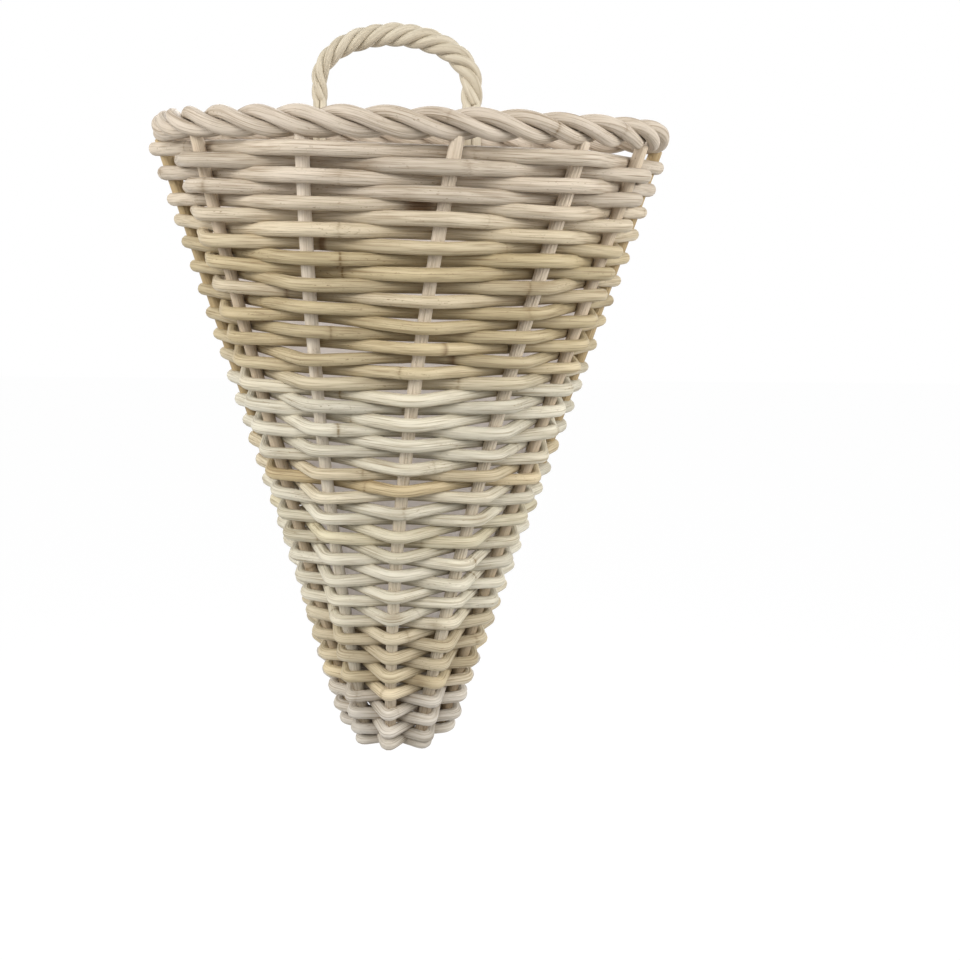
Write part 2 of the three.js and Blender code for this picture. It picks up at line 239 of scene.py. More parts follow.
def stake_points(index, depth):
    """The middle of a stake, or of many at once, at a depth below the rim."""
    index, depth = np.broadcast_arrays(np.asarray(index) % STAKES, np.asarray(depth, dtype=float))
    down = depth / ROUND_START
    size = {name: RIM[name] + (FOOT[name] - RIM[name]) * down for name in RIM}
    even = np.pi / 2 - np.pi * index / (FRONT_STAKES - 1)
    beside_corner = (index == 1) | (index == FRONT_STAKES - 2)
    angle = even + size["lean"] * np.cos(even) - beside_corner * size["gather"] * np.sign(even)
    front_x = size["shift"] + size["half"] * np.sin(angle)
    front_y = -size["setback"] - (size["depth"] - size["setback"]) * np.cos(angle)
    part = (index - FRONT_STAKES + 1) / (BACK_STAKES + 1)
    back_x = size["shift"] + size["half"] * size["spread"] * (2 * part - 1)
    x = np.where(index < FRONT_STAKES, front_x, back_x)
    y = np.where(index < FRONT_STAKES, front_y, 0.0)
    curl = FOOT_CLOSING * np.clip(depth - ROUND_START, 0.0, None) / FOOT_ROUND
    closing = np.sqrt(1.0 - curl ** 2)
    middle_x = FOOT["shift"]
    middle_y = -FOOT["depth"] / 2
    x = middle_x + (x - middle_x) * closing
    y = middle_y + (y - middle_y) * closing
    return np.stack([x + HOOP_OFFSET, y, RIM_TOP - depth], axis=-1)


def unit(rows):
    return rows / np.linalg.norm(rows, axis=-1, keepdims=True)


def wall_directions(index, depth):
    """Level directions at a stake: along the wall, and out of the basket."""
    here = stake_points(index, depth)
    arriving = unit(here - stake_points(np.asarray(index) - 1, depth))
    leaving = unit(stake_points(np.asarray(index) + 1, depth) - here)
    along = unit(arriving + leaving)
    outward = np.stack([-along[..., 1], along[..., 0], np.zeros_like(along[..., 0])], axis=-1)
    return along, outward


print("front stake at the rim:", stake_points(FRONT_STAKES // 2, 0.02).round(4))

# %% [markdown]
# ## Making a cane
# A cane is a round rod that follows a path. A bevelled curve would do for a plain rod, but real cane
# swells at its growth rings, varies in thickness and has cut ends, so the rings of vertices are laid
# down here one by one. Each vertex also stores where it lies along and across the cane. The finish uses
# that to run its fibres lengthwise round every bend.

# %% Paths
UP = np.array([0.0, 0.0, 1.0])
TO_WALL = np.array([0.0, 1.0, 0.0])


def path_length(path):
    """The distance travelled at each point of a path."""
    steps = np.linalg.norm(np.diff(path, axis=0), axis=1)
    return np.concatenate([[0.0], np.cumsum(steps)])


def along_path(values, at, stops):
    """Rows of values that are known at some distances, read off at others."""
    return np.stack([np.interp(stops, at, values[:, part]) for part in range(values.shape[1])], axis=1)


corner_line = stake_points(0, np.linspace(0.0, BODY_HEIGHT, 50))
print("corner stake:", round(path_length(corner_line)[-1], 3), "m long")

# %% [markdown]
# Two kinds of marks come with growth and with use: rings at uneven steps along the cane, and blots where
# its skin was bruised. They could be placed by hand, but there are hundreds. Each cane draws its own from
# a seeded generator, so that the basket comes out the same every time.

# %% Growth rings and stains
RING_STOPS = np.array([-6.0, -3.5, -2.0, -1.1, -0.5, 0.0, 0.5, 1.1, 2.0, 3.5, 6.0]) * 0.001
STAINS_PER_METRE = 8.0


def growth_rings(rng, length, spacing):
    spots = []
    spot = rng.uniform(0.2, 0.8) * spacing
    while spot < length:
        spots.append(spot)
        spot += rng.uniform(0.6, 1.4) * spacing
    return np.array(spots)


def stains(rng, stops, turn):
    """Bruises and weathered spots: soft blots here and there on one side of the cane."""
    total = np.zeros((len(stops), len(turn)))
    for _ in range(rng.poisson(STAINS_PER_METRE * stops[-1])):
        spot = rng.uniform(0.0, stops[-1])
        face = rng.uniform(0.0, 2 * np.pi)
        reach = rng.uniform(0.003, 0.013)
        width = rng.uniform(0.6, 1.3)
        away = np.abs((turn - face + np.pi) % (2 * np.pi) - np.pi)
        blot = np.exp(-((stops - spot) / reach) ** 2)[:, None] * np.exp(-(away / width) ** 2)[None, :]
        total += rng.uniform(0.35, 1.0) * blot
    return np.minimum(total, 1.0)


def ring_lines(rng, stops, rings, turn):
    """How far each vertex is from its growth ring, which runs round aslant, and how dark the ring is."""
    if not len(rings):
        return np.ones((len(stops), len(turn))), np.zeros((len(stops), len(turn)))
    nearest = np.abs(stops[:, None] - rings[None, :]).argmin(axis=1)
    swing = rng.uniform(0.0003, 0.0012, len(rings))[nearest][:, None]
    facing = rng.uniform(0.0, 2 * np.pi, len(rings))[nearest][:, None]
    sway = swing * np.cos(turn[None, :] + facing) + 0.0003 * np.cos(3 * turn[None, :] + 2 * facing)
    from_ring = np.abs(stops[:, None] - rings[nearest][:, None] + sway)
    darkness = rng.uniform(0.3, 1.0, len(rings))[nearest][:, None]
    return from_ring, darkness * (0.7 + 0.3 * np.cos(turn[None, :] - facing))


print("stops at a growth ring:", len(RING_STOPS))

# %% [markdown]
# The rings of vertices need a place, a direction and a size. They stand closer at a growth ring, where the
# cane swells, and the swell fades within a few millimetres. Even spacing would need five times as many.

# %% Thickness and direction
FEWEST_STOPS = 4
END_MARGIN = 0.001
RING_BULGE = 0.06
BULGE_REACH = 0.0035


def cane_stops(rings, length, step, closed):
    """Where the rings of vertices go: evenly along the cane, and closer together at growth rings."""
    count = max(int(length / step), FEWEST_STOPS)
    even = np.linspace(0.0, length, count, endpoint=not closed)
    near = (rings[:, None] + RING_STOPS[None, :]).ravel()
    near = near[(near > END_MARGIN) & (near < length - END_MARGIN)]
    return np.unique(np.concatenate([even, near]))


def cane_axes(centre, reference, closed):
    """At each stop: the way the cane runs, and two directions across it."""
    if closed:
        tangent = unit(np.roll(centre, -1, axis=0) - np.roll(centre, 1, axis=0))
    else:
        tangent = unit(np.gradient(centre, axis=0))
    side = unit(np.cross(tangent, reference))
    return tangent, side, np.cross(side, tangent)


def cane_thickness(stops, rings, waves):
    """Slow swells of three lengths, and a bulge at each growth ring."""
    gap = np.full(len(stops), 1.0)
    if len(rings):
        gap = np.abs(stops[:, None] - rings[None, :]).min(axis=1)
    thick = 1.0 + 0.022 * np.sin(2 * np.pi * stops / 0.117 + waves[0])
    thick += 0.015 * np.sin(2 * np.pi * stops / 0.041 + waves[1])
    thick += RING_BULGE * np.exp(-(gap / BULGE_REACH) ** 2)
    thick += 0.03 * np.sin(2 * np.pi * stops / 0.31 + waves[2])
    return thick


print("stops on 0.1 m of plain cane:", len(cane_stops(np.array([]), 0.1, 0.0025, False)))

# %% [markdown]
# Four-sided faces join each ring to the next. A real end is cut with a knife, which makes it flat, a
# little bevelled and darker than the skin, so an open tube gets a smaller ring and a middle point there.

# %% Faces and cut ends
END_SHARE = 0.86
END_BEVEL = 0.0004
CUT_KNOT = 0.5
CUT_STAIN = 0.6


def tube_faces(rows, sides, closed):
    """A quad between each vertex, its neighbour, and the same two in the next ring."""
    behind = np.arange(rows) if closed else np.arange(rows - 1)
    ahead = np.roll(np.arange(rows), -1) if closed else np.arange(1, rows)
    this = np.arange(sides)
    beside = np.roll(this, -1)
    quads = np.stack([
        behind[:, None] * sides + this[None, :],
        behind[:, None] * sides + beside[None, :],
        ahead[:, None] * sides + beside[None, :],
        ahead[:, None] * sides + this[None, :],
    ], axis=-1).reshape(-1, 4)
    return [tuple(quad[::-1]) for quad in quads.tolist()]


def cut_end(layers, faces, sides, row, sign, centre, tangent, stop):
    """Close a tube with a flat end, slightly bevelled and stained as cut cane is."""
    rim = slice(row * sides, (row + 1) * sides)
    first = len(layers["points"])
    lift = sign * END_BEVEL * tangent
    flat = centre + END_SHARE * (layers["points"][rim] - centre) + lift
    added = {
        "points": np.concatenate([flat, [centre + lift]]),
        "grain": np.concatenate([layers["grain"][rim], [[stop, 0.0, 0.0]]]),
        "knot": np.full(sides + 1, CUT_KNOT),
        "tuck": np.full(sides + 1, layers["tuck"][row * sides]),
        "stain": np.full(sides + 1, CUT_STAIN),
        "skin": np.repeat(layers["skin"][row * sides:row * sides + 1], sides + 1, axis=0),
    }
    for layer, values in added.items():
        layers[layer] = np.concatenate([layers[layer], values])
    for spot in range(sides):
        after = (spot + 1) % sides
        bevel = (row * sides + spot, row * sides + after, first + after, first + spot)
        cap = (first + spot, first + after, first + sides)
        faces.append(bevel if sign < 0 else bevel[::-1])
        faces.append(cap if sign < 0 else cap[::-1])


print("faces of a short tube:", len(tube_faces(3, 12, False)))

# %% [markdown]
# The pieces of the recipe come together here. The cane's marks go into mesh attributes: "grain" says
# where a vertex lies along and across the cane, "knot" and "stain" how marked it is, "tuck" how deep it
# sits behind a stake, which the finish turns into painted shade, and "skin" its colour, which on the
# stakes also holds painted shade. A texture painted on each cane would need an unwrapped mesh.

# %% A cane
LAYER_KINDS = {
    "grain": ("FLOAT_VECTOR", "vector"), "knot": ("FLOAT", "value"), "tuck": ("FLOAT", "value"),
    "stain": ("FLOAT", "value"), "skin": ("FLOAT_COLOR", "color"),
}
OUT_OF_ROUND = 0.02
GROOVE_DEPTH = 0.04
GROOVE_WIDTH = 0.0006
LINE_WIDTH = 0.0007
HALO_WIDTH = 0.0028
HALO_SHARE = 0.45
GRAIN_SHIFT = 3.7
RIB_STAIN = 8.0


def cane_object(name, layers, faces):
    mesh = bpy.data.meshes.new(name)
    mesh.from_pydata(layers["points"].tolist(), [], faces)
    for layer, (kind, field) in LAYER_KINDS.items():
        mesh.attributes.new(layer, kind, "POINT").data.foreach_set(field, layers[layer].ravel())
    mesh.polygons.foreach_set("use_smooth", np.ones(len(mesh.polygons), dtype=bool))
    mesh.update()
    cane = bpy.data.objects.new(name, mesh)
    scene.collection.objects.link(cane)
    return cane


def make_cane(name, path, radius, seed, skin, reference=UP, sides=12, step=0.0025, ring_spacing=0.27,
              tuck=None, flutes=0.0, scale=None, closed=False):
    rng = np.random.default_rng(seed)
    at = path_length(path)
    rings = growth_rings(rng, at[-1], ring_spacing)
    stops = cane_stops(rings, at[-1], step, closed)
    centre = along_path(path, at, stops)
    tangent, side, top = cane_axes(centre, reference, closed)
    waves = rng.uniform(0.0, 2 * np.pi, 3)
    thick = cane_thickness(stops, rings, waves)
    if scale is not None:
        thick *= np.interp(stops, at, scale)

    turn = 2 * np.pi * np.arange(sides) / sides
    from_ring, ring_mark = ring_lines(rng, stops, rings, turn)
    oval = 1.0 + OUT_OF_ROUND * np.cos(2 * turn + waves[2])
    ribs = flutes * np.cos(13 * turn[None, :] + waves[0] + 6.0 * stops[:, None])
    ribs += flutes * 0.5 * np.cos(5 * turn[None, :] + waves[1] - 4.0 * stops[:, None])
    groove = GROOVE_DEPTH * np.exp(-(from_ring / GROOVE_WIDTH) ** 2)
    reach = radius * thick[:, None] * (oval[None, :] + ribs - groove)
    across = reach * np.cos(turn)
    upward = reach * np.sin(turn)
    points = centre[:, None, :] + across[..., None] * side[:, None, :]
    points = points + upward[..., None] * top[:, None, :]

    ring_line = np.exp(-(from_ring / LINE_WIDTH) ** 2)
    ring_line = ring_line + HALO_SHARE * np.exp(-(from_ring / HALO_WIDTH) ** 2)
    hidden = np.zeros(len(stops)) if tuck is None else np.interp(stops, at, tuck)
    tones = along_path(np.broadcast_to(skin, (len(path), 4)), at, stops)
    lengthwise = np.repeat(stops, sides) + GRAIN_SHIFT * seed
    layers = {
        "points": points.reshape(-1, 3),
        "grain": np.stack([lengthwise, across.ravel(), upward.ravel()], axis=1),
        "knot": (ring_mark * ring_line).ravel(),
        "tuck": np.repeat(hidden, sides),
        "stain": np.maximum(stains(rng, stops, turn), -RIB_STAIN * ribs).ravel(),
        "skin": np.repeat(tones, sides, axis=0),
    }
    faces = tube_faces(len(stops), sides, closed)
    if not closed:
        for row, sign in ((0, -1.0), (len(stops) - 1, 1.0)):
            cut_end(layers, faces, sides, row, sign, centre[row], tangent[row], stops[row])
    return cane_object(name, layers, faces)


def fit(piece, node, finish):
    """The piece takes the place of a solid, moves with the basket and wears a finish."""
    piece.data.materials.append(finish)
    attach(piece, "root")
    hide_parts(node)


print("a cane carries:", list(LAYER_KINDS))

# %% [markdown]
# ## The finish of cane
# Rattan is a bundle of long fibres under a thin skin. Its colour drifts slowly along the rod, fine
# streaks follow the fibres, dark specks sit on the skin and a brown line rings each growth node. Photos
# of cane could be wrapped round the rods, but noise that is stretched along each cane's own length gives
# every one a different grain.

# %% Node shorthand
def stretched(tree, grain, lengthwise, crosswise, detail):
    """Noise drawn out along the cane: the two numbers are how often it changes per metre."""
    often = (lengthwise, crosswise, crosswise)
    spread = add_node(tree, "ShaderNodeMapping", {"Vector": grain, "Scale": often}).outputs[0]
    noise = add_node(tree, "ShaderNodeTexNoise", {"Vector": spread, "Scale": 1.0, "Detail": detail})
    return noise.outputs["Fac"]


def between(tree, value, low, high):
    """0 at the low value, 1 at the high one."""
    return add_node(tree, "ShaderNodeMapRange", {
        "Value": value, "From Min": low, "From Max": high, "To Min": 0.0, "To Max": 1.0,
    }).outputs["Result"]


def times(tree, first, second, clamp=False):
    made = add_node(tree, "ShaderNodeMath", {0: first, 1: second}, operation="MULTIPLY", use_clamp=clamp)
    return made.outputs[0]


def blend(tree, factor, first, second, how="MIX"):
    """A colour mix. Its colour inputs share their names with others, so they are given by number."""
    made = add_node(tree, "ShaderNodeMix", data_type="RGBA", blend_type=how)
    for number, value in ((0, factor), (6, first), (7, second)):
        socket = made.inputs[number]
        if isinstance(value, bpy.types.NodeSocket):
            tree.links.new(value, socket)
        else:
            socket.default_value = value
    return made.outputs[2]


print("node shorthand ready")

# %% Cane finish
PALE_FIBRE = (1.15, 1.17, 1.22, 1.0)
# The dark colour darkens the fibre marks, stains and knots, and also gives the painted shade behind the
# stakes.
DARK_FIBRE_AND_SHADE = (0.36, 0.28, 0.18, 1.0)
FIBRE_RELIEF = 0.0004


def cane_finish(name, streaks=0.35, specks=0.75, shade=0.5, roughness=0.52, relief=0.5):
    finish = bpy.data.materials.new(name)
    finish.use_nodes = True
    tree = finish.node_tree
    tree.nodes.clear()
    grain = add_node(tree, "ShaderNodeAttribute", attribute_name="grain").outputs["Vector"]
    knot = add_node(tree, "ShaderNodeAttribute", attribute_name="knot").outputs["Fac"]
    tuck = add_node(tree, "ShaderNodeAttribute", attribute_name="tuck").outputs["Fac"]
    stain = add_node(tree, "ShaderNodeAttribute", attribute_name="stain").outputs["Fac"]
    body = add_node(tree, "ShaderNodeAttribute", attribute_name="skin").outputs["Color"]

    drift = between(tree, stretched(tree, grain, 14.0, 90.0, 2.0), 0.32, 0.68)
    fibre = stretched(tree, grain, 45.0, 1700.0, 3.0)
    coarse = stretched(tree, grain, 26.0, 800.0, 3.0)
    patch = stretched(tree, grain, 26.0, 160.0, 3.0)
    speck = between(tree, stretched(tree, grain, 420.0, 900.0, 2.0), 0.62, 0.74)
    pale = blend(tree, 1.0, body, PALE_FIBRE, "MULTIPLY")
    dark = blend(tree, 1.0, body, DARK_FIBRE_AND_SHADE, "MULTIPLY")

    shown = blend(tree, drift, body, pale)
    shown = blend(tree, times(tree, between(tree, coarse, 0.52, 0.36), streaks, True), shown, pale)
    darkening = [
        (between(tree, fibre, 0.50, 0.72), streaks),
        (between(tree, coarse, 0.52, 0.76), streaks),
        (times(tree, stain, between(tree, patch, 0.36, 0.62)), 0.8),
        (times(tree, speck, between(tree, patch, 0.46, 0.66)), specks),
        # Painted shade: darker where the cane passes behind a stake.
        (tuck, shade),
        (times(tree, knot, between(tree, coarse, 0.25, 0.6)), 0.9),
    ]
    for where, strength in darkening:
        shown = blend(tree, times(tree, where, strength, True), shown, dark)

    height = add_node(tree, "ShaderNodeMath", {0: fibre, 1: coarse}, operation="ADD").outputs[0]
    bump = add_node(tree, "ShaderNodeBump", {
        "Height": height, "Strength": relief, "Distance": FIBRE_RELIEF,
    })
    gloss = add_node(tree, "ShaderNodeMapRange", {
        "Value": coarse, "From Min": 0.3, "From Max": 0.7,
        "To Min": roughness - 0.08, "To Max": roughness + 0.12,
    })
    skin = add_node(tree, "ShaderNodeBsdfPrincipled", {
        "Base Color": shown, "Roughness": gloss.outputs["Result"], "Normal": bump.outputs[0],
        "Specular IOR Level": 0.35,
    })
    add_node(tree, "ShaderNodeOutputMaterial", {"Surface": skin.outputs[0]})
    return finish


weaver_finish = cane_finish("weaver_skin", streaks=0.65, shade=0.52, relief=1.0)
stake_finish = cane_finish("stake_fibres", streaks=0.35, relief=1.0)
rope_finish = cane_finish("rope_skin", streaks=0.3)
print("finishes:", [item.name for item in bpy.data.materials])

# %% [markdown]
# ## Stakes
# The stakes are stouter than the weavers and show between them as short grey uprights with lengthwise
# fibres. They are canes along the stake lines. On three of them the skin has worn off, so their sides
# are fluted and the fibres are real ridges, not only paint. Towards the foot their colour is painted
# darker as painted shade. The two beside the corners and the two at the corners are painted darker and
# browner all the way down, also as painted shade, and those at the corners stand a little proud of the
# weave.

# %% Stakes
STAKE_RADIUS = 0.00375
CORNER_RADIUS = 0.0043
CORNER_PUSH = 0.0013
FRONT_TOP = 0.0145
BACK_TOP = 0.022
STAKE_END = BODY_HEIGHT - 0.0065
WORN_FLUTES = 0.06
FAINT_FLUTES = 0.012
STAKE_SEED = 40
STAKE_NAMES = [
    "stake_right_corner", "stake_front_5", "stake_front_4", "stake_front_3", "stake_front_2",
    "stake_front_1", "stake_left_corner", "stake_back_1", "stake_back_2",
]
WORN_STAKES = ("stake_front_3", "stake_front_4", "stake_back_1")
SIDE_STAKES = ("stake_front_1", "stake_front_5")
# Tones at three depths. The darker tones lower down are painted shade; the side and corner lists are
# painted shade all the way down.
TONE_DEPTHS = [0.0, 0.33, 0.39]
PALE_TONES = [colour(220, 207, 189), colour(204, 196, 178), colour(150, 136, 114)]
WORN_TONES = [colour(206, 191, 170), colour(200, 190, 170), colour(150, 134, 112)]
SIDE_SHADED_TONES = [colour(205, 188, 164), colour(178, 161, 134), colour(136, 118, 92)]
CORNER_SHADED_TONES = [colour(172, 150, 110), colour(150, 130, 95), colour(138, 118, 88)]
for index, name in enumerate(STAKE_NAMES):
    depth = np.linspace(FRONT_TOP if index < FRONT_STAKES else BACK_TOP, STAKE_END, 240)
    line = stake_points(index, depth)
    radius = STAKE_RADIUS
    tones = WORN_TONES if name in WORN_STAKES else PALE_TONES
    if name in SIDE_STAKES:
        tones = SIDE_SHADED_TONES
    if "corner" in name:
        push = np.linspace(CORNER_PUSH, 2 * CORNER_PUSH, len(line))[:, None]
        line = line + push * wall_directions(index, depth)[1]
        radius = CORNER_RADIUS
        tones = CORNER_SHADED_TONES
    skin = along_path(np.array(tones), TONE_DEPTHS, depth)
    flutes = WORN_FLUTES if name in WORN_STAKES else FAINT_FLUTES
    stake = make_cane(name + "_rod", line, radius, STAKE_SEED + index, skin, reference=TO_WALL, sides=52,
                      ring_spacing=0.5, flutes=flutes)
    fit(stake, name, stake_finish)
print("stakes:", len(STAKE_NAMES))

# %% [markdown]
# ## The weave
# The weave is one spiral. At every stake it passes outside or inside in turn, and because the number of
# stakes is odd the next turn does the opposite. It could be simulated as a rope pulled round posts, but
# the answer is known beforehand: each pass has a stake, a side and a depth. The passes are counted from
# the bottom row; eight more come before it and close the foot.

# %% Passes of the spiral
WEAVER_RADIUS = 0.0034
WEAVER_LOOK = 1.14
TOP_ROW_DEPTH = 0.02065
FULL_TURNS = 53
FIRST_PASS = -8
LAST_PASS = FULL_TURNS * STAKES + FRONT_STAKES - 1
ROW_PITCH = (BODY_HEIGHT - WEAVER_RADIUS - TOP_ROW_DEPTH) * STAKES / LAST_PASS
passes = np.arange(FIRST_PASS, LAST_PASS + 1)
post = passes % STAKES
on_back = post >= FRONT_STAKES
outside = (LAST_PASS - passes) % 2 == 0
even_depth = BODY_HEIGHT - WEAVER_RADIUS - ROW_PITCH * passes / STAKES
print("passes:", len(passes), "row pitch:", round(1000 * ROW_PITCH, 2), "mm")

# %% [markdown]
# Hand weaving is never even. Rows ride up and down in slow ripples with small slips on top, less so at
# the foot, at the rim and on the back. The very first row lies almost level and its tail is pulled up
# inside.

# %% Uneven rows
BACK_RIPPLE = 0.3
SLIP = 0.00022
FOOT_FADE = 0.05
RIM_FADE_START = 0.02
RIM_FADE = 0.03
FIRST_ROW_LIFT = 0.006
FIRST_ROW_SLOPE = 0.0006
TAIL_PASSES = -5
TAIL_RISE = 0.0018
MIDDLE_STAKE = FRONT_STAKES // 2
ripple = 0.0011 * np.sin(even_depth / 0.0113 + 1.7 * post)
ripple += 0.0008 * np.sin(even_depth / 0.0071 - 2.9 * post)
ripple *= np.where(on_back, BACK_RIPPLE, 1.0)
slips = np.random.default_rng(11).normal(0.0, SLIP, LAST_PASS + 1)
slips = np.concatenate([np.zeros(-FIRST_PASS), slips])
from_foot = np.clip((BODY_HEIGHT - even_depth) / FOOT_FADE, 0.0, 1.0)
from_rim = np.clip((even_depth - RIM_FADE_START) / RIM_FADE, 0.0, 1.0)
fade = from_foot * from_rim
row_depth = even_depth - FIRST_ROW_LIFT * np.exp(-passes / 10.0) + (ripple + slips) * fade
foot_row = passes < MIDDLE_STAKE
row_depth[foot_row] = row_depth[~foot_row][0] + FIRST_ROW_SLOPE * (MIDDLE_STAKE - passes[foot_row])
tail = passes < TAIL_PASSES
row_depth[tail] -= TAIL_RISE * (TAIL_PASSES - passes[tail])
print("slips reach", round(1000 * np.abs(slips).max(), 2), "mm")

# %% [markdown]
# Now each pass gets a control point. It is pushed out or in until the smooth bend it makes just rests on
# its stake. Straight runs between rounded bends give the stiff look of thick cane: gentle waves at the
# wide rim and sharp chevrons at the narrow foot. The loops round the corners swell out a little near the
# foot, and the low rows of the back are pulled in tight.

# %% Bends
CORNER_DEPTHS = [0.30, 0.34, 0.373, 0.392, 0.402]
CORNER_EASE = [0.0, 0.0015, 0.004, 0.003, -0.001]
RIGHT_EASE = 0.3
LEFT_EASE = -1.0
TIGHT_DEPTH = 0.33
TIGHT_REST = 0.7
here = stake_points(post, row_depth)
ease = RIGHT_EASE * (post == 0) + LEFT_EASE * (post == FRONT_STAKES - 1)
here[:, 0] += ease * np.interp(row_depth, CORNER_DEPTHS, CORNER_EASE)
outward = wall_directions(post, row_depth)[1]
tight = np.where(on_back & (row_depth > TIGHT_DEPTH), TIGHT_REST, 1.0)
rest = (STAKE_RADIUS + WEAVER_LOOK * WEAVER_RADIUS) * tight
bend_share = 0.30 + 0.35 * np.exp(-np.maximum(passes, 0) / 7.0)
control = here + np.where(outside, rest, -rest)[:, None] * outward


def bend_ends(points):
    """Where the bend at each control point begins and ends, on the lines to its neighbours."""
    before = np.concatenate([points[:1], points[:-1]])
    after = np.concatenate([points[1:], points[-1:]])
    into = points + 0.5 * bend_share[:, None] * (before - points)
    out_of = points + 0.5 * bend_share[:, None] * (after - points)
    return into, out_of


for _ in range(60):
    into, out_of = bend_ends(control)
    crest = 0.25 * into + 0.5 * control + 0.25 * out_of
    reached = np.sum((crest - here) * outward, axis=1)
    outside_push = rest - reached
    inside_push = np.minimum(-rest - reached, 0.0)
    control += (0.9 * np.where(outside, outside_push, inside_push))[:, None] * outward
print("left to push:", round(1000 * np.abs(outside_push[outside]).max(), 4), "mm")

# %% [markdown]
# Last, the bends and the straight runs are joined into one long path. Every point of it remembers its
# pass, so that later a colour or a thickness can be given by the turn it lies in. It also gets a painted
# shade: where the cane dips behind a stake its colour is painted darker, most at the foot and least in
# the middle rows.

# %% The spiral
SAMPLES = 28
SHADE_TURNS = [0, 9, 14, 32, 37, 45, 48]
SHADE_DEPTHS = [1.25, 1.1, 0.25, 0.25, 0.7, 0.65, 0.4]
into, out_of = bend_ends(control)
t = np.linspace(0.0, 1.0, SAMPLES)[None, :, None]
bends = (1 - t) ** 2 * into[:, None, :] + 2 * t * (1 - t) * control[:, None, :]
bends = bends + t ** 2 * out_of[:, None, :]
bend_pass = passes[:, None] + np.linspace(-0.5, 0.5, SAMPLES) * bend_share[:, None]
s = np.linspace(0.0, 1.0, SAMPLES + 1)[None, 1:-1, None]
straights = (1 - s) * out_of[:-1, None, :] + s * into[1:, None, :]
straight_pass = (1 - s[..., 0]) * bend_pass[:-1, -1:] + s[..., 0] * bend_pass[1:, :1]
spiral = np.concatenate([bends[:-1], straights], axis=1).reshape(-1, 3)
spiral = np.concatenate([spiral, bends[-1]])
pass_at = np.concatenate([bend_pass[:-1], straight_pass], axis=1).ravel()
pass_at = np.concatenate([pass_at, bend_pass[-1]])
from_inside = np.abs((pass_at + LAST_PASS) % 2.0 - 1.0)
# Painted shade: how much darker the cane is painted where it passes behind a stake, scaled by turn.
tuck_shade = (0.5 + 0.5 * np.cos(np.pi * from_inside)) ** 1.3
tuck_shade *= np.interp(pass_at / STAKES, SHADE_TURNS, SHADE_DEPTHS)
print("spiral length:", round(path_length(spiral)[-1], 2), "m")

# %% [markdown]
# ## Weavers
# Cane is only so long, so the spiral is cut into sixteen lengths whose ends meet on the back. The maker
# takes them from bundles of different tone, and that gives the basket its soft stripes. The tones are
# listed here from the foot up, each with the turn it belongs to. A few dark scars sit where the skin was
# torn.

# %% Weaver tones
ASH = (189, 181, 167)
WHEAT = (197, 181, 146)
OAT = (183, 170, 142)
FLAX = (189, 179, 150)
STRAW = (188, 173, 140)
HONEY = (188, 168, 128)
TAN = (178, 162, 127)
PALE = (199, 192, 172)
SAND = (190, 176, 149)
ROSY = (189, 176, 157)
SKIN_BANDS = [
    (5.6, ASH), (6.6, WHEAT), (9, OAT), (12, OAT), (14, PALE), (19.5, PALE), (21.5, FLAX), (23.5, PALE),
    (25, PALE), (26.5, HONEY), (28.5, PALE), (34, PALE), (36, STRAW), (39, TAN), (41.6, TAN), (42.6, SAND),
    (43.6, TAN), (45.5, TAN), (47.3, SAND), (50.5, ROSY),
]
SCARS = [
    (37.297, 0.004), (38.309, 0.002), (38.642, 0.003), (41.548, 0.004), (42.474, 0.0015),
    (46.434, 0.004), (49.352, 0.012),
]
SCAR_LOSS = np.array([0.62, 0.72, 0.80, 0.0])
band_turns = [at_turn for at_turn, tone in SKIN_BANDS]
band_tones = np.array([colour(*tone) for at_turn, tone in SKIN_BANDS])


def weaver_skin(turn, shade):
    """The colour at each turn: its band, the cane's own shade, a slow drift and the scars."""
    drift = 0.06 * np.sin(2 * np.pi * 0.47 * turn + 1.1) + 0.05 * np.sin(2 * np.pi * 1.31 * turn + 0.3)
    skin = along_path(band_tones, band_turns, turn) * (shade + drift)[:, None]
    for scar_turn, scar_reach in SCARS:
        scar = np.exp(-((turn - scar_turn) / scar_reach) ** 4)[:, None]
        skin = skin * (1.0 - scar * SCAR_LOSS)
    return skin


print("tone bands:", len(SKIN_BANDS), "scars:", len(SCARS))

# %% [markdown]
# The thickness varies too. The first row is thin, because it starts with the tip of a cane, and lower
# down the rows of the back and the loops round the corners are fuller, so that the weave closes there.

# %% Weaver canes
WEAVER_CANES = 16
CUT_GAP = 0.001
HALF_PASS = 0.501
STOUT_CANES = slice(9, 11)
STOUTER = 1.05
TOP_CANE_STOUTER = 1.03
FINE_STEP_CANES = 6
FINE_STEP = 0.0015
PLAIN_STEP = 0.0022
WEAVER_SEED = 100
shades = np.random.default_rng(8).uniform(0.95, 1.05, WEAVER_CANES)
girth = WEAVER_LOOK * np.random.default_rng(5).uniform(0.96, 1.04, WEAVER_CANES)
girth[STOUT_CANES] *= STOUTER
cuts = [round(FULL_TURNS * k / WEAVER_CANES) * STAKES - (k % BACK_STAKES) for k in range(1, WEAVER_CANES)]


def weaver_fullness(turn):
    station = (turn % 1.0) * STAKES
    back = np.interp(station, [5.9, 6.2, 8.8, 9.0], [0.0, 1.0, 1.0, 0.0])
    corner = np.interp(station, [0.0, 0.5, 5.5, 6.0, 6.5, 8.5, 9.0], [1.0, 0.0, 0.0, 1.0, 0.0, 0.0, 1.0])
    full = np.interp(turn, [FIRST_PASS / STAKES, 0.0, 1.5], [0.75, 0.87, 1.0])
    full *= 1.0 + 0.15 * back * np.interp(turn, [26.0, 34.0], [1.0, 0.0])
    full *= 1.0 + 0.2 * corner * np.interp(turn, [3.0, 8.0, 28.0, 34.0], [0.0, 1.0, 1.0, 0.0])
    return full


